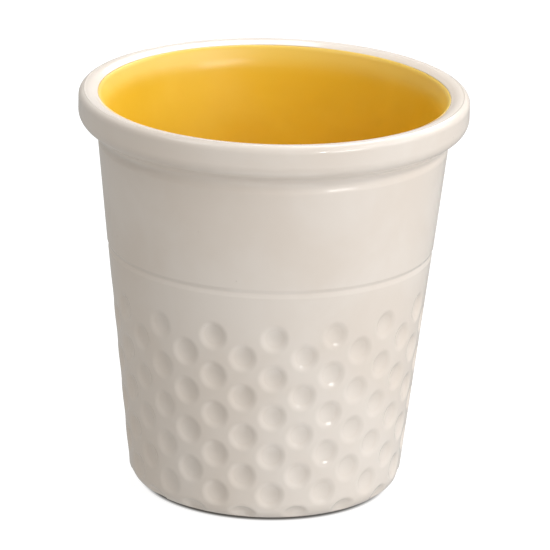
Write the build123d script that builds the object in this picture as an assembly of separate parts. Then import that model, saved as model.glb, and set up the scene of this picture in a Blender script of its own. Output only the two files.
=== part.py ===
from build123d import *
import math
import os

# Thimble-shaped glazed stoneware yarn bowl, in millimetres.
# +Z is up along the bowl's axis and the origin is the centre of the foot ring's
# resting plane. One clay casting carries two fired glaze coats that meet on the
# inner shoulder of the rolled lip: an off-white coat outside and a yellow coat
# inside. The lower half of the outside is pressed with round dimples.

# ---------------------------------------------------------------- dimensions
LIP_R = 75.0            # outer radius of the rolled lip
HEIGHT = 157.8          # resting plane to the crown of the lip
GLAZE_T = 0.40          # thickness of either glaze coat

LOW_R0 = 52.20          # lower wall: radius at z = 0 ...
LOW_SLOPE = 0.1093      # ... and its growth per millimetre of height
UP_R0 = 52.53           # upper wall: the same two numbers
UP_SLOPE = 0.1072
IN_R0 = 47.60           # inside wall: the same two numbers
IN_SLOPE = 0.1085

FOOT_GAP = 0.60         # bare foot ring showing under the outside glaze
FOOT_OUT_R = 44.6       # foot ring, outer radius
FOOT_IN_R = 39.4        # foot ring, inner radius
FOOT_RECESS = 1.8       # height of the recess inside the foot ring
BASE_FILLET = 8.0       # rounded corner between wall and base
FLOOR_Z = 7.0           # glazed inside floor
FLOOR_FILLET = 12.0     # rounded corner between inside wall and floor

GROOVE_Z = 96.2         # thin groove round the middle of the wall
NECK_Z = 139.2          # narrowest line of the neck, under the lip
LIP_LOW_Z = 145.7       # underside of the rolled lip
BREAK_R = 67.5          # where white glaze stops and yellow starts

DIMPLE_R = 5.4          # radius of a dimple's mouth
DIMPLE_DEPTH = 1.45
DIMPLES_PER_ROW = 16
DIMPLE_ROWS = 10        # each half a dimple round from the one above it
DIMPLE_TOP_Z = 77.6     # centre height of the top row, at the front
DIMPLE_DROP = 8.19      # from one row down to the next
DIMPLE_TURN0 = 2.49     # degrees from the front (-Y) to dimple column 0
DIMPLE_LEAN = 0.84      # the rows sit a little off level: higher toward +X


def low_r(z):
    return LOW_R0 + LOW_SLOPE * z


def up_r(z):
    return UP_R0 + UP_SLOPE * z


def in_r(z):
    return IN_R0 + IN_SLOPE * z


# -------------------------------------------------------------- wall section
# The glazed surface as a chain of corners (radius, height, corner rounding),
# from the foot, up the outside, over the lip, down the inside to the axis.
# A point marked "break" carries no rounding and splits the two glazes.
BREAK_Z = 156.25
CHAIN = [
    (FOOT_OUT_R, FOOT_GAP, 0.0),
    (low_r(FOOT_GAP), FOOT_GAP, BASE_FILLET),
    (low_r(GROOVE_Z - 1.7), GROOVE_Z - 1.7, 0.9),
    (up_r(GROOVE_Z) - 0.80, GROOVE_Z, 0.5),
    (up_r(GROOVE_Z + 1.3), GROOVE_Z + 1.3, 0.8),
    (up_r(NECK_Z - 1.9), NECK_Z - 1.9, 0.9),
    (66.45, NECK_Z, 1.5),
    (68.90, LIP_LOW_Z, 2.6),
    (LIP_R, LIP_LOW_Z, 4.4),
    (LIP_R, HEIGHT - 0.75, 3.0),
    (70.9, HEIGHT + 0.12, 6.0),
    (BREAK_R, BREAK_Z, 0.0),
    None,
    (in_r(150.0), 150.0, 16.0),
    (in_r(FLOOR_Z), FLOOR_Z, FLOOR_FILLET),
    (0.0, FLOOR_Z, 0.0),
]
# the corner after the break continues the same straight line for a little way
_bx, _bz = BREAK_R, BREAK_Z
_dx, _dz = _bx - 70.9, _bz - (HEIGHT + 0.12)
_dl = math.hypot(_dx, _dz)
CHAIN[12] = (_bx + _dx / _dl * 1.1, _bz + _dz / _dl * 1.1, 2.6)
BREAK_I = 11


def offset_chain(chain, d):
    """Shift every straight run of the chain by d to the clay side (the left
    of the direction of travel) and return the new corners."""
    runs = []
    for (x0, z0, _), (x1, z1, _) in zip(chain, chain[1:]):
        length = math.hypot(x1 - x0, z1 - z0)
        ux, uz = (x1 - x0) / length, (z1 - z0) / length
        runs.append((x0 - uz * d, z0 + ux * d, ux, uz))
    out = [(runs[0][0], runs[0][1], chain[0][2])]
    for i in range(1, len(chain) - 1):
        ax, az, aux, auz = runs[i - 1]
        bx, bz, bux, buz = runs[i]
        cross = aux * buz - auz * bux
        rad = chain[i][2]
        if abs(cross) < 1e-9:
            out.append((bx, bz, rad))
            continue
        t = ((bx - ax) * buz - (bz - az) * bux) / cross
        # a left-hand bend tightens as the surface moves left
        if rad > 0:
            rad = rad - d if cross > 0 else rad + d
        out.append((ax + aux * t, az + auz * t, max(rad, 0.05)))
    lx, lz, lux, luz = runs[-1]
    x1, z1, r1 = chain[-1]
    out.append((x1 - luz * d, z1 + lux * d, r1))
    return out


def trace(chain):
    """Straight and round segments of a chain of rounded corners. Returns a list
    of (points, end_corner_index)."""
    segs = []
    px, pz = chain[0][0], chain[0][1]
    for i in range(1, len(chain)):
        cx, cz, rad = chain[i]
        if i < len(chain) - 1 and rad > 0:
            ax, az = chain[i - 1][0] - cx, chain[i - 1][1] - cz
            bx, bz = chain[i + 1][0] - cx, chain[i + 1][1] - cz
            la, lb = math.hypot(ax, az), math.hypot(bx, bz)
            ax, az, bx, bz = ax / la, az / la, bx / lb, bz / lb
            half = math.acos(max(-1, min(1, ax * bx + az * bz))) / 2
            cut = rad / math.tan(half)
            sx, sz = cx + ax * cut, cz + az * cut
            ex, ez = cx + bx * cut, cz + bz * cut
            mx, mz = ax + bx, az + bz
            ml = math.hypot(mx, mz)
            far = rad / math.sin(half) - rad
            mid = (cx + mx / ml * far, cz + mz / ml * far)
            segs.append((((px, pz), (sx, sz)), i))
            segs.append((((sx, sz), mid, (ex, ez)), i))
            px, pz = ex, ez
        else:
            segs.append((((px, pz), (cx, cz)), i))
            px, pz = cx, cz
    return segs


def edges_of(segs):
    out = []
    for pts, _ in segs:
        p = [Vector(x, 0, z) for x, z in pts]
        if (p[-1] - p[0]).length < 1e-6:
            continue
        out.append(Edge.make_line(*p) if len(p) == 2 else Edge.make_three_point_arc(*p))
    return out


def revolve_section(edges, close_through):
    """Close a run of edges through the given points and turn it about Z."""
    pts = [edges[-1] @ 1] + [Vector(x, 0, z) for x, z in close_through] + [edges[0] @ 0]
    loop = list(edges)
    for a, b in zip(pts, pts[1:]):
        if (a - b).length > 1e-6:
            loop.append(Edge.make_line(a, b))
    face = Face(Wire(loop))
    return revolve(face, axis=Axis.Z)


glaze_chain = CHAIN
clay_chain = offset_chain(CHAIN, GLAZE_T)
glaze_segs = trace(glaze_chain)
clay_segs = trace(clay_chain)
glaze_out = edges_of([s for s in glaze_segs if s[1] <= BREAK_I])
glaze_in = edges_of([s for s in glaze_segs if s[1] > BREAK_I])
clay_out = edges_of([s for s in clay_segs if s[1] <= BREAK_I])
clay_in = edges_of([s for s in clay_segs if s[1] > BREAK_I])
clay_break = clay_out[-1] @ 1
clay_start = clay_out[0] @ 0

# ------------------------------------------------------------- dimple places
# Sixteen dimples to a row, with every other row half a pitch round.
cap_r = (DIMPLE_R ** 2 + DIMPLE_DEPTH ** 2) / (2 * DIMPLE_DEPTH)
half_step = 360.0 / (2 * DIMPLES_PER_ROW)
corner_r = low_r(FOOT_GAP) - BASE_FILLET * math.tan((math.pi / 2 - math.atan(LOW_SLOPE)) / 2)
corner_z = FOOT_GAP + BASE_FILLET
wall_tilt = math.atan(LOW_SLOPE)
tangent_z = corner_z - BASE_FILLET * math.sin(wall_tilt)

dimples = []
for k in range(-DIMPLES_PER_ROW, DIMPLES_PER_ROW):
    for j in range(DIMPLE_ROWS):
        if (j + k) % 2:
            continue
        turn = math.radians(-90.0 + DIMPLE_TURN0 + k * half_step)
        z = DIMPLE_TOP_Z - DIMPLE_DROP * j + DIMPLE_LEAN * math.cos(turn)
        if z > tangent_z:
            r, tilt = low_r(z), wall_tilt
        else:
            tilt = math.asin(min(1.0, (corner_z - z) / BASE_FILLET))
            r = corner_r + BASE_FILLET * math.cos(tilt)
        reach = cap_r - DIMPLE_DEPTH
        n = Vector(math.cos(tilt) * math.cos(turn), math.cos(tilt) * math.sin(turn), -math.sin(tilt))
        dimples.append((Vector(r * math.cos(turn), r * math.sin(turn), z) + n * reach, n))


def balls(radius):
    # each ball's pole lies along its dimple's normal
    return [Plane(origin=c, z_dir=n) * Sphere(radius) for c, n in dimples]


def press(solid, radius):
    # one ball at a time, so that every dimple is certain to be cut
    for ball in balls(radius):
        solid = solid - ball
    return solid


# ------------------------------------------------------------------- solids
# Everything inside the clay's outer surface, filled to the axis, and the same
# inside the glaze's outer surface: their difference is the outside coat.
fill_low = clay_start.Z
fill = [(60.0, 150.0), (0, 150.0), (0, fill_low)]
clay_filled = revolve_section(clay_out, fill)
glaze_filled = revolve_section(
    glaze_out,
    [(clay_break.X, clay_break.Z)] + fill + [(clay_start.X, clay_start.Z)],
)
clay_dimpled = press(clay_filled, cap_r + GLAZE_T)
glaze_dimpled = press(glaze_filled, cap_r)
exterior_glaze = glaze_dimpled - clay_dimpled

# The clay: the dimpled outside, hollowed to the inside surface, with its foot.
clay_end = clay_in[-1] @ 1
hollow = revolve_section(clay_in, [(0, HEIGHT + 5), (clay_break.X, HEIGHT + 5)])
foot_corners = [
    (FOOT_IN_R - 0.6, FOOT_RECESS + 2.0),
    (FOOT_OUT_R, FOOT_RECESS + 2.0),
    (FOOT_OUT_R, 0.4),
    (FOOT_OUT_R - 0.4, 0.0),
    (FOOT_IN_R + 0.5, 0.0),
    (FOOT_IN_R, 0.5),
]
foot_runs = [
    Edge.make_line((ax, 0, az), (bx, 0, bz))
    for (ax, az), (bx, bz) in zip(foot_corners, foot_corners[1:])
]
foot = revolve_section(foot_runs, [(FOOT_IN_R, FOOT_RECESS), (FOOT_IN_R - 0.6, FOOT_RECESS)])
recess = Pos(0, 0, FOOT_RECESS / 2) * Cylinder(FOOT_IN_R - 0.3, FOOT_RECESS)
clay_body = (clay_dimpled + foot - recess) - hollow

# The inside coat: a thin skin between the glaze line and the clay line.
loop = list(glaze_in) + [Edge.make_line(glaze_in[-1] @ 1, clay_end)]
loop += list(clay_in) + [Edge.make_line(clay_break, glaze_in[0] @ 0)]
interior_glaze = revolve(Face(Wire(loop)), axis=Axis.Z)

# -------------------------------------------------------------------- export
os.makedirs("parts", exist_ok=True)
for name, shape in (
    ("clay_body", clay_body),
    ("exterior_glaze", exterior_glaze),
    ("interior_glaze", interior_glaze),
):
    solids = shape.solids()
    print(name, len(solids), [round(s.volume / 1000, 2) for s in solids], shape.bounding_box())
    export_step(Compound(children=list(solids)) if len(solids) > 1 else solids[0], f"parts/{name}.step")
print("dimples", len(dimples), "cap radius", round(cap_r, 3))
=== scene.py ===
import math

import bpy
import numpy as np
from mathutils import Matrix, Vector


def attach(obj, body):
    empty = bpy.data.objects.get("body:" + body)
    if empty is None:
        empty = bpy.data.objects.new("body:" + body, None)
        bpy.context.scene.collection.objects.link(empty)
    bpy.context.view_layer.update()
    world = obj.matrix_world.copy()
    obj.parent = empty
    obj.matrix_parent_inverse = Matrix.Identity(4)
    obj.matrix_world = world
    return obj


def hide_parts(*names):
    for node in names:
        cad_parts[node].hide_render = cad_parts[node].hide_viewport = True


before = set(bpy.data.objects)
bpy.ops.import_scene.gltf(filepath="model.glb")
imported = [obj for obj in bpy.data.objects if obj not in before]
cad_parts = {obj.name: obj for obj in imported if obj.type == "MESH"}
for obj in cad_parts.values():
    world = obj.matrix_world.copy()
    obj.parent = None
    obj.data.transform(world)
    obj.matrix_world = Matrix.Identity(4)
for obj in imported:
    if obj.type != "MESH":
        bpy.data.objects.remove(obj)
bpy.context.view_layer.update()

MM = 0.001

# --------------------------------------------------------------- wall section
# Radius, height and corner rounding in millimetres, from the foot, up the
# outside, over the rolled lip and down the inside to the middle of the floor.
HEIGHT = 157.78
LOW = (52.20, 0.1093)
UP = (52.53, 0.1072)
INN = (47.60, 0.1085)
FOOT_GAP, FOOT_OUT_R, BASE_FILLET = 0.60, 44.6, 8.0
GROOVE_Z, NECK_Z, LIP_LOW_Z = 96.2, 139.2, 145.7
BREAK_R, BREAK_Z = 67.5, 156.25
FLOOR_Z, FLOOR_FILLET = 7.0, 12.0


def line_r(ab, z):
    return ab[0] + ab[1] * z


bd = np.array([BREAK_R - 70.9, BREAK_Z - (HEIGHT + 0.12)])
bd /= np.linalg.norm(bd)
CHAIN = [
    (FOOT_OUT_R, FOOT_GAP, 0.0),
    (line_r(LOW, FOOT_GAP), FOOT_GAP, BASE_FILLET),
    (line_r(LOW, GROOVE_Z - 1.9), GROOVE_Z - 1.9, 1.2),
    (line_r(UP, GROOVE_Z) - 0.66, GROOVE_Z, 1.1),
    (line_r(UP, GROOVE_Z + 1.5), GROOVE_Z + 1.5, 1.0),
    (line_r(UP, NECK_Z - 2.4), NECK_Z - 2.4, 3.2),
    (66.60, NECK_Z, 2.8),
    (67.95, 141.9, 7.5),
    (74.98, 146.4, 6.0),
    (74.98, HEIGHT - 0.75, 3.0),
    (70.9, HEIGHT + 0.12, 6.0),
    (BREAK_R, BREAK_Z, 0.0),
    (BREAK_R + bd[0] * 1.1, BREAK_Z + bd[1] * 1.1, 2.6),
    (line_r(INN, 150.0), 150.0, 16.0),
    (line_r(INN, FLOOR_Z), FLOOR_Z, FLOOR_FILLET),
    (0.0, FLOOR_Z, 0.0),
]
BREAK_I = 11


def trace(chain, upto):
    """Dense points along the rounded chain, split at corner number upto."""
    parts, cur = [], [np.array(chain[0][:2])]
    for i in range(1, len(chain)):
        c, rad = np.array(chain[i][:2]), chain[i][2]
        if i < len(chain) - 1 and rad > 0:
            a = np.array(chain[i - 1][:2]) - c
            b = np.array(chain[i + 1][:2]) - c
            a, b = a / np.linalg.norm(a), b / np.linalg.norm(b)
            half = math.acos(np.clip(a @ b, -1, 1)) / 2
            s, e = c + a * rad / math.tan(half), c + b * rad / math.tan(half)
            m = (a + b) / np.linalg.norm(a + b)
            o = c + m * rad / math.sin(half)
            a0, a1 = math.atan2(*(s - o)[::-1]), math.atan2(*(e - o)[::-1])
            d = (a1 - a0 + math.pi) % (2 * math.pi) - math.pi
            cur.append(s)
            for t in np.linspace(0, 1, max(4, int(abs(d) * rad / 0.06)))[1:]:
                cur.append(o + rad * np.array([math.cos(a0 + d * t), math.sin(a0 + d * t)]))
        else:
            cur.append(c)
        if i == upto:
            parts.append(np.array(cur))
            cur = [c]
    parts.append(np.array(cur))
    return parts


def resample(pts, spacing):
    """Points along a polyline at the spacing that spacing(z, r) asks for, with the turn smoothed into normals."""
    seg = np.hypot(*np.diff(pts, axis=0).T)
    keep = np.r_[True, seg > 1e-7]
    pts = pts[keep]
    s = np.r_[0, np.cumsum(np.hypot(*np.diff(pts, axis=0).T))]
    fine = np.linspace(0, s[-1], int(s[-1] / 0.05))
    fr, fz = np.interp(fine, s, pts[:, 0]), np.interp(fine, s, pts[:, 1])
    rate = 1.0 / np.array([spacing(r, z) for r, z in zip(fr, fz)])
    acc = np.r_[0, np.cumsum((rate[1:] + rate[:-1]) / 2 * np.diff(fine))]
    n = int(round(acc[-1])) + 1
    at = np.interp(np.linspace(0, acc[-1], n), acc, fine)
    r, z = np.interp(at, s, pts[:, 0]), np.interp(at, s, pts[:, 1])
    d = 0.12
    r1, z1 = np.interp(np.clip(at + d, 0, s[-1]), s, pts[:, 0]), np.interp(np.clip(at + d, 0, s[-1]), s, pts[:, 1])
    r0, z0 = np.interp(np.clip(at - d, 0, s[-1]), s, pts[:, 0]), np.interp(np.clip(at - d, 0, s[-1]), s, pts[:, 1])
    tr, tz = r1 - r0, z1 - z0
    ln = np.hypot(tr, tz)
    return r, z, tz / ln, -tr / ln, at


OUT_PTS, IN_PTS = trace(CHAIN, BREAK_I)

# -------------------------------------------------------------------- dimples
DIMPLE_R, DIMPLE_DEPTH, PER_ROW, ROWS = 5.4, 1.62, 16, 10
TOP_Z, DROP, TURN0, LEAN = 77.6, 8.19, 2.49, 0.84
CAP_R = (DIMPLE_R ** 2 + DIMPLE_DEPTH ** 2) / (2 * DIMPLE_DEPTH)
tilt0 = math.atan(LOW[1])
corner_r = line_r(LOW, FOOT_GAP) - BASE_FILLET * math.tan((math.pi / 2 - tilt0) / 2)
corner_z = FOOT_GAP + BASE_FILLET
rng = np.random.default_rng(11)
dimples = []
for k in range(-PER_ROW, PER_ROW):
    for j in range(ROWS):
        if (j + k) % 2:
            continue
        turn = math.radians(-90.0 + TURN0 + k * 180.0 / PER_ROW)
        z = TOP_Z - DROP * j + LEAN * math.cos(turn)
        if z > corner_z - BASE_FILLET * math.sin(tilt0):
            r, tilt = line_r(LOW, z), tilt0
        else:
            tilt = math.asin(min(1.0, (corner_z - z) / BASE_FILLET))
            r = corner_r + BASE_FILLET * math.cos(tilt)
        jit = rng.normal(0, 1, 3)
        turn += jit[0] * 0.12 / r
        z += jit[1] * 0.12
        deep = DIMPLE_DEPTH * (1 + 0.035 * jit[2])
        c = np.array([r * math.cos(turn), r * math.sin(turn), z])
        n = np.array([math.cos(tilt) * math.cos(turn), math.cos(tilt) * math.sin(turn), -math.sin(tilt)])
        dimples.append((c, n, deep))


def smin(a, b, k):
    h = np.clip(k - np.abs(a - b), 0, None) / k
    return np.minimum(a, b) - h * h * k * 0.25


def press(P, soft):
    """Pushes the points of P (n, 3) that lie under a dimple down to its bowl; returns how deep each one went."""
    sunk = np.zeros(len(P))
    ang = np.arctan2(P[:, 1], P[:, 0])
    order = np.argsort(ang)
    for c, n, deep in dimples:
        near = np.where((np.abs(P[:, 2] - c[2]) < 8.5) & (((P[:, 0] - c[0]) ** 2 + (P[:, 1] - c[1]) ** 2) < 8.5 ** 2))[0]
        d = P[near] - c
        up = d @ n
        rho2 = np.maximum((d ** 2).sum(1) - up ** 2, 0)
        ok = rho2 < (CAP_R * 0.85) ** 2
        near, up, rho2 = near[ok], up[ok], rho2[ok]
        bowl = -deep + CAP_R - np.sqrt(CAP_R ** 2 - rho2)
        new = smin(up, bowl, soft)
        drop = up - new
        P[near] -= drop[:, None] * n
        sunk[near] = np.maximum(sunk[near], drop)
    return sunk


def sway(th, z, seed, amp):
    """A slow inward unevenness of a hand-finished casting, 0 to amp millimetres."""
    g = np.random.default_rng(seed)
    v = np.zeros_like(th)
    for _ in range(9):
        a, b, ph = g.integers(1, 7), g.uniform(-0.09, 0.09), g.uniform(0, 6.28)
        v += np.sin(a * th + b * z + ph) / 9
    return amp * (0.5 + 0.5 * np.clip(v * 2.2, -1, 1))


# -------------------------------------------------------------------- meshes
def rings(r, z, nr, nz, count, push=0.0, seed=None, amp=0.0, soft=None):
    """Grid of points (len(r), count, 3) turned about Z, set back by push along the normal."""
    th = (np.arange(count) / count) * 2 * math.pi + math.pi / 2
    R, T = np.meshgrid(r, th, indexing="ij")
    Z = np.repeat(z[:, None], count, 1)
    NR, NZ = np.repeat(nr[:, None], count, 1), np.repeat(nz[:, None], count, 1)
    back = push + (sway(T, Z, seed, amp) if seed is not None else 0.0)
    R2, Z2 = R - NR * back, Z - NZ * back
    P = np.stack([R2 * np.cos(T), R2 * np.sin(T), Z2], -1).reshape(-1, 3)
    sunk = np.zeros(len(P))
    if soft is not None:
        low = P[:, 2] < 90
        Q = P[low]
        sunk[low] = press(Q, soft)
        P[low] = Q
    return P.reshape(len(r), count, 3), sunk.reshape(len(r), count)


def build(name, grids, pole=False):
    """One closed mesh from a front grid and a back grid of points whose ring counts differ by an even whole factor
    or not at all. The first rings are joined by a strip, and so are the last, or each closes on its own pole."""
    verts, faces, attrs, base, total = [], [], [], [], 0
    for P, A in grids:
        base.append(total)
        verts.append(P.reshape(-1, 3))
        attrs.append(A.reshape(-1))
        total += P.shape[0] * P.shape[1]
        if pole:
            verts.append(np.array([[0.0, 0.0, P[-1, :, 2].mean()]]))
            attrs.append(np.array([A[-1].mean()]))
            total += 1
    for gi, (P, A) in enumerate(grids):
        m, n = P.shape[:2]
        b = base[gi]
        i, j = np.meshgrid(np.arange(m - 1), np.arange(n), indexing="ij")
        j2 = (j + 1) % n
        q = np.stack([b + i * n + j, b + i * n + j2, b + (i + 1) * n + j2, b + (i + 1) * n + j], -1).reshape(-1, 4)
        if gi == 1:
            q = q[:, ::-1]
        faces.extend(map(tuple, q.tolist()))
        if pole:
            top, last = b + m * n, b + (m - 1) * n
            for t in range(n):
                tri = (last + t, last + (t + 1) % n, top)
                faces.append(tri if gi == 0 else tri[::-1])
    (P0, _), (P1, _) = grids
    n0, n1 = P0.shape[1], P1.shape[1]
    f = n0 // n1
    for end in ((0,) if pole else (0, 1)):
        o0 = base[0] + (0 if end == 0 else (P0.shape[0] - 1) * n0)
        o1 = base[1] + (0 if end == 0 else (P1.shape[0] - 1) * n1)
        for j in range(n1):
            ja, jb = o1 + j, o1 + (j + 1) % n1
            rim = [o0 + (j * f + t) % n0 for t in range(f + 1)]
            for t in range(f):
                if t < f // 2:
                    q = (rim[t], ja, rim[t + 1])
                elif t == f // 2:
                    q = (rim[t], ja, jb, rim[t + 1])
                else:
                    q = (rim[t], jb, rim[t + 1])
                faces.append(q if end == 0 else q[::-1])
    me = bpy.data.meshes.new(name)
    V = np.concatenate(verts) * MM
    me.from_pydata(V.tolist(), [], faces)
    # Per-point mask the glaze materials read: painted shade in the dimples outside, painted light near the lip
    # inside.
    a = me.attributes.new("painted_light_mask", "FLOAT", "POINT")
    a.data.foreach_set("value", np.concatenate(attrs).astype(np.float32))
    me.validate()
    me.shade_smooth()
    ob = bpy.data.objects.new(name, me)
    bpy.context.scene.collection.objects.link(ob)
    return ob


def step_out(r, z):
    if z < 9 and r < 50:
        return 0.6
    if z < 86:
        return 0.52
    if 92 < z < 99:
        return 0.22
    if z < 135:
        return 2.4
    if z < 141:
        return 0.25
    return 0.42


NT = 720
r, z, nr, nz, s = resample(OUT_PTS, step_out)
front, sunk = rings(r, z, nr, nz, NT, seed=3, amp=0.07, soft=0.70)
hr, hz, hnr, hnz, hs = resample(OUT_PTS, lambda a, b: 2.2 * step_out(a, b) if b < 135 else 1.4)
back, bs = rings(hr, hz, hnr, hnz, NT // 2, push=0.33, seed=3, amp=0.07, soft=0.70)
# Dimple depth, 0 to 1. The white glaze turns darker and warmer with it, a painted shade in the dimples, and a
# little glossier.
painted_light_mask = np.clip(sunk / DIMPLE_DEPTH, 0, 1)
edge = np.clip(1 - (s[-1] - s) / 1.2, 0, 1)
outside = build("exterior_glaze_coat", [(front, painted_light_mask), (back, np.zeros(back.shape[:2]))])
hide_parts("exterior_glaze")
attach(outside, "root")


def step_in(r, z):
    if z > 140:
        return 0.5
    if r < 47:
        return 1.6
    return 1.6


NI = 384
ir, iz, inr, inz, isx = resample(IN_PTS, step_in)
keep = ir > 0.9
ir, iz, inr, inz = ir[keep], iz[keep], inr[keep], inz[keep]
f_in, _ = rings(ir, iz, inr, inz, NI, seed=5, amp=0.10)
b_in, _ = rings(ir, iz, inr, inz, NI, push=0.38)
# Distance down the inside from the lip, 0 to 1 over 13 mm; the yellow glaze is painted lighter above it, a painted
# light on the upper inner wall.
g_edge = np.repeat(np.clip(isx[keep] / 13.0, 0, 1)[:, None], NI, 1)
inside = build("interior_glaze_coat", [(f_in, g_edge), (b_in, np.ones(b_in.shape[:2]))], pole=True)
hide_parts("interior_glaze")
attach(inside, "root")


# ------------------------------------------------------------------ materials
def new_mat(name):
    m = bpy.data.materials.new(name)
    m.use_nodes = True
    nt = m.node_tree
    nt.nodes.clear()
    out = nt.nodes.new("ShaderNodeOutputMaterial")
    bsdf = nt.nodes.new("ShaderNodeBsdfPrincipled")
    nt.links.new(bsdf.outputs[0], out.inputs[0])
    return m, nt, bsdf


def N(nt, kind, **kw):
    n = nt.nodes.new(kind)
    for k, v in kw.items():
        setattr(n, k, v)
    return n


def noise(nt, co, scale, detail=3.0, rough=0.5, dist=0.0):
    n = N(nt, "ShaderNodeTexNoise")
    n.inputs["Scale"].default_value = scale
    n.inputs["Detail"].default_value = detail
    n.inputs["Roughness"].default_value = rough
    n.inputs["Distortion"].default_value = dist
    nt.links.new(co, n.inputs["Vector"])
    return n.outputs["Fac"]


def maprange(nt, val, a, b, c, d, smooth=True):
    n = N(nt, "ShaderNodeMapRange")
    n.interpolation_type = "SMOOTHSTEP" if smooth else "LINEAR"
    for i, v in zip((1, 2, 3, 4), (a, b, c, d)):
        n.inputs[i].default_value = v
    nt.links.new(val, n.inputs[0])
    return n.outputs[0]


def mixcol(nt, fac, c1, c2, mode="MIX"):
    n = N(nt, "ShaderNodeMix", data_type="RGBA", blend_type=mode)
    for sock, v in ((n.inputs[0], fac), (n.inputs[6], c1), (n.inputs[7], c2)):
        if hasattr(v, "links") or isinstance(v, bpy.types.NodeSocket):
            nt.links.new(v, sock)
        elif isinstance(v, (int, float)):
            sock.default_value = v
        else:
            sock.default_value = (*v, 1.0)
    return n.outputs[2]


def math_(nt, op, a, b=None):
    n = N(nt, "ShaderNodeMath", operation=op)
    for i, v in enumerate((a, b)):
        if v is None:
            continue
        if isinstance(v, (int, float)):
            n.inputs[i].default_value = v
        else:
            nt.links.new(v, n.inputs[i])
    return n.outputs[0]


def bump(nt, height, strength, dist, normal=None):
    n = N(nt, "ShaderNodeBump")
    n.inputs["Strength"].default_value = strength
    n.inputs["Distance"].default_value = dist
    nt.links.new(height, n.inputs["Height"])
    if normal is not None:
        nt.links.new(normal, n.inputs["Normal"])
    return n.outputs["Normal"]


def srgb(r, g, b):
    f = lambda c: (c / 255 / 12.92) if c / 255 <= 0.04045 else ((c / 255 + 0.055) / 1.055) ** 2.4
    return (f(r), f(g), f(b))


def white_glaze():
    m, nt, b = new_mat("white_glaze_gloss")
    co = N(nt, "ShaderNodeTexCoord").outputs["Object"]
    painted_light_mask = N(nt, "ShaderNodeAttribute", attribute_name="painted_light_mask").outputs["Fac"]
    cloud = noise(nt, co, 22.0, 4.0, 0.55, 0.3)
    tone = maprange(nt, cloud, 0.35, 0.68, 0.0, 1.0)
    base = mixcol(nt, tone, srgb(235, 224, 213), srgb(240, 231, 222))
    # Darker, warmer tint toward the bottom of each dimple: painted shade in the recesses.
    base = mixcol(nt, maprange(nt, painted_light_mask, 0.25, 1.0, 0.0, 0.50), base, srgb(229, 215, 200))
    # rare fine iron specks under the glaze
    vor = N(nt, "ShaderNodeTexVoronoi", feature="F1")
    vor.inputs["Scale"].default_value = 260.0
    nt.links.new(co, vor.inputs["Vector"])
    pick = maprange(nt, noise(nt, co, 95.0, 1.0), 0.66, 0.70, 0.0, 1.0)
    dot = maprange(nt, vor.outputs["Distance"], 0.05, 0.13, 1.0, 0.0)
    fleck = math_(nt, "MULTIPLY", math_(nt, "MULTIPLY", pick, dot), 0.16)
    base = mixcol(nt, fleck, base, srgb(150, 132, 112))
    nt.links.new(base, b.inputs["Base Color"])
    rough = maprange(nt, noise(nt, co, 60.0, 3.0), 0.3, 0.7, 0.11, 0.17)
    rough = math_(nt, "SUBTRACT", rough, math_(nt, "MULTIPLY", painted_light_mask, 0.03))
    nt.links.new(rough, b.inputs["Roughness"])
    b.inputs["IOR"].default_value = 1.52
    n1 = bump(nt, noise(nt, co, 55.0, 2.0, 0.4), 0.20, 0.0006)
    n2 = bump(nt, noise(nt, co, 420.0, 2.0, 0.5), 0.10, 0.00008, n1)
    nt.links.new(n2, b.inputs["Normal"])
    return m


def yellow_glaze():
    m, nt, b = new_mat("yellow_glaze_gloss")
    co = N(nt, "ShaderNodeTexCoord").outputs["Object"]
    rim_distance = N(nt, "ShaderNodeAttribute", attribute_name="painted_light_mask").outputs["Fac"]
    cloud = noise(nt, co, 16.0, 4.0, 0.55, 0.6)
    base = mixcol(nt, maprange(nt, cloud, 0.33, 0.68, 0.0, 1.0), srgb(235, 191, 48), srgb(240, 200, 63))
    # Lighter, paler yellow near the lip: painted light on the upper inner wall.
    painted_rim_light = maprange(nt, rim_distance, 0.0, 1.0, 1.0, 0.0)
    base = mixcol(nt, math_(nt, "MULTIPLY", painted_rim_light, 0.40), base, srgb(251, 221, 130))
    nt.links.new(base, b.inputs["Base Color"])
    rough = maprange(nt, noise(nt, co, 50.0, 3.0), 0.3, 0.7, 0.30, 0.40)
    nt.links.new(rough, b.inputs["Roughness"])
    b.inputs["IOR"].default_value = 1.52
    n1 = bump(nt, noise(nt, co, 45.0, 2.0, 0.4), 0.22, 0.0006)
    n2 = bump(nt, noise(nt, co, 380.0, 2.0, 0.5), 0.10, 0.00008, n1)
    nt.links.new(n2, b.inputs["Normal"])
    return m


def stoneware():
    m, nt, b = new_mat("bare_stoneware")
    co = N(nt, "ShaderNodeTexCoord").outputs["Object"]
    base = mixcol(nt, maprange(nt, noise(nt, co, 60.0, 5.0, 0.6), 0.3, 0.7, 0.0, 1.0), srgb(196, 178, 154), srgb(212, 196, 172))
    grit = maprange(nt, noise(nt, co, 900.0, 2.0, 0.6), 0.60, 0.72, 0.0, 1.0)
    base = mixcol(nt, math_(nt, "MULTIPLY", grit, 0.5), base, srgb(140, 116, 92))
    wear = maprange(nt, noise(nt, co, 25.0, 4.0, 0.6, 1.0), 0.45, 0.62, 0.0, 0.35)
    base = mixcol(nt, wear, base, srgb(168, 150, 130))
    nt.links.new(base, b.inputs["Base Color"])
    rough = maprange(nt, noise(nt, co, 200.0, 3.0), 0.3, 0.7, 0.68, 0.88)
    nt.links.new(rough, b.inputs["Roughness"])
    n1 = bump(nt, noise(nt, co, 700.0, 4.0, 0.65), 0.5, 0.00025)
    nt.links.new(n1, b.inputs["Normal"])
    return m


WHITE, YELLOW, CLAY = white_glaze(), yellow_glaze(), stoneware()
outside.data.materials.append(WHITE)
inside.data.materials.append(YELLOW)
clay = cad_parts["clay_body"]
if not clay.material_slots:
    clay.data.materials.append(CLAY)
for slot in clay.material_slots:
    slot.material = CLAY

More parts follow.
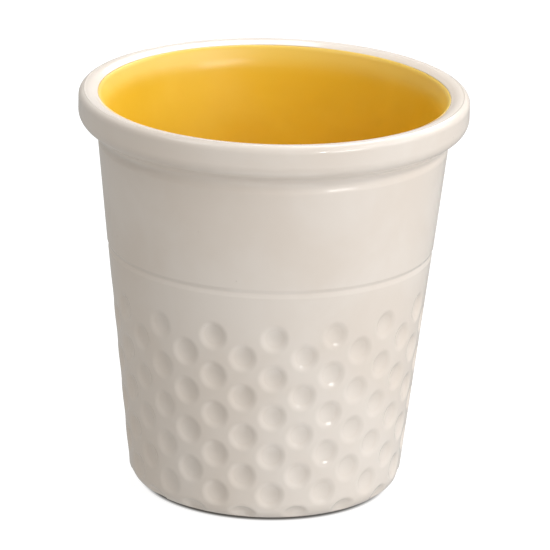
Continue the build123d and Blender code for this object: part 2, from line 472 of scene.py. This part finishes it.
# ---------------------------------------------------------------------- stage
def plain(name, color, rough=0.9):
    m, nt, b = new_mat(name)
    co = N(nt, "ShaderNodeTexCoord").outputs["Object"]
    c = mixcol(nt, noise(nt, co, 3.0, 2.0), color, tuple(min(1.0, x * 1.01) for x in color))
    nt.links.new(c, b.inputs["Base Color"])
    b.inputs["Roughness"].default_value = rough
    b.inputs["Specular IOR Level"].default_value = 0.1
    return m


def floor():
    me = bpy.data.meshes.new("floor")
    n, size, back = 24, 6.0, 3.0
    prof = [(-size, 0.0), (back, 0.0)] + [(back + 1.2 * math.sin(t), 1.2 - 1.2 * math.cos(t)) for t in np.linspace(0.1, math.pi / 2, 12)] + [(back + 1.2, 5.0)]
    v, f = [], []
    for x in (-size, size):
        for y, zz in prof:
            v.append((x, y, zz - 0.00005))
    m = len(prof)
    for i in range(m - 1):
        f.append((i, m + i, m + i + 1, i + 1))
    me.from_pydata(v, [], f)
    me.shade_smooth()
    o = bpy.data.objects.new("floor", me)
    bpy.context.scene.collection.objects.link(o)
    m = plain("floor_white_painted_shadow", (0.20, 0.20, 0.20))
    b = m.node_tree.nodes["Principled BSDF"]
    b.inputs["Emission Color"].default_value = (1, 1, 1, 1)
    nt = m.node_tree
    geo = nt.nodes.new("ShaderNodeTexCoord")
    ln = nt.nodes.new("ShaderNodeVectorMath")
    ln.operation = "LENGTH"
    nt.links.new(geo.outputs["Object"], ln.inputs[0])
    # Even glow of the floor, faded to none inside a disc of about 46 to 49 mm radius under the pot: a painted
    # contact shadow under the base.
    glow_with_painted_shadow = maprange(nt, ln.outputs["Value"], 0.0462, 0.0492, 0.0, 0.90)
    nt.links.new(glow_with_painted_shadow, b.inputs["Emission Strength"])
    me.materials.append(m)
    o.visible_diffuse = False
    o.visible_shadow = False
    o.visible_glossy = False
    return o


floor()


def area(name, loc, target, size, power, color=(1, 1, 1), size_y=None):
    l = bpy.data.lights.new(name, "AREA")
    l.energy = power
    l.color = color
    l.size = size
    if size_y:
        l.shape = "RECTANGLE"
        l.size_y = size_y
    o = bpy.data.objects.new(name, l)
    bpy.context.scene.collection.objects.link(o)
    o.location = loc
    o.rotation_euler = (Vector(target) - Vector(loc)).to_track_quat("-Z", "Y").to_euler()
    return o


mid = (0, 0, 0.08)


def soft(name, az, el, dist, size, size_y, power, color=(1, 1, 1)):
    """A softbox; az is counted from the camera's side (0) toward the right (90)."""
    a, e = math.radians(az - 90), math.radians(el)
    loc = Vector(mid) + Vector((math.cos(a) * math.cos(e), math.sin(a) * math.cos(e), math.sin(e))) * dist
    return area(name, loc, mid, size, power, color, size_y)


soft("front_right_low", 45, 15, 2.0, 0.7, 0.5, 8.0)
soft("front_right", 55, 35, 2.0, 1.0, 1.0, 7.0)
soft("right_low", 80, 20, 2.0, 0.8, 0.6, 3.8)
soft("right_back", 115, 30, 2.0, 0.9, 0.9, 4.5)
soft("back", 155, 40, 2.0, 0.9, 0.9, 10.0)
soft("top", 165, 60, 2.0, 0.9, 0.9, 13.0)
soft("left_top", -70, 55, 2.0, 0.9, 0.9, 5.3)
soft("table_bounce", 5, -70, 2.0, 1.3, 1.3, 4.3)
soft("glint", 28, 22, 2.2, 0.18, 0.18, 5.0)

world = bpy.data.worlds.new("world")
bpy.context.scene.world = world
world.use_nodes = True
wn = world.node_tree
wc = wn.nodes.new("ShaderNodeTexCoord")
sep = wn.nodes.new("ShaderNodeSeparateXYZ")
wn.links.new(wc.outputs["Generated"], sep.inputs[0])
side = maprange(wn, sep.outputs[0], -0.9, 0.7, 0.0, 1.0)
sky = mixcol(wn, side, (0.405, 0.395, 0.375), (0.47, 0.47, 0.465))
wn.links.new(sky, wn.nodes["Background"].inputs[0])
wn.nodes["Background"].inputs[1].default_value = 1.0

# --------------------------------------------------------------------- camera
S = 0.075
E, ROLL = math.radians(18.412), math.radians(1.621)
DIST, TX, ZT, FOC = 27.470, 0.0289, 1.108, 5326.3
C = Vector((TX, -DIST * math.cos(E), ZT + DIST * math.sin(E))) * S
fw = Vector((0, math.cos(E), -math.sin(E)))
rt = Vector((1, 0, 0))
up = rt.cross(fw)
rt2 = rt * math.cos(ROLL) + up * math.sin(ROLL)
up2 = -rt * math.sin(ROLL) + up * math.cos(ROLL)
cam = bpy.data.cameras.new("camera")
cam.lens = FOC / 550 * 36
cam.sensor_width = 36
cam.clip_start, cam.clip_end = 0.1, 50
cam.dof.use_dof = False
co = bpy.data.objects.new("camera", cam)
bpy.context.scene.collection.objects.link(co)
m = Matrix((
    (rt2.x, up2.x, -fw.x, C.x),
    (rt2.y, up2.y, -fw.y, C.y),
    (rt2.z, up2.z, -fw.z, C.z),
    (0, 0, 0, 1),
))
co.matrix_world = m
bpy.context.scene.camera = co
bpy.context.scene.view_settings.view_transform = "Standard"

bpy.context.view_layer.update()
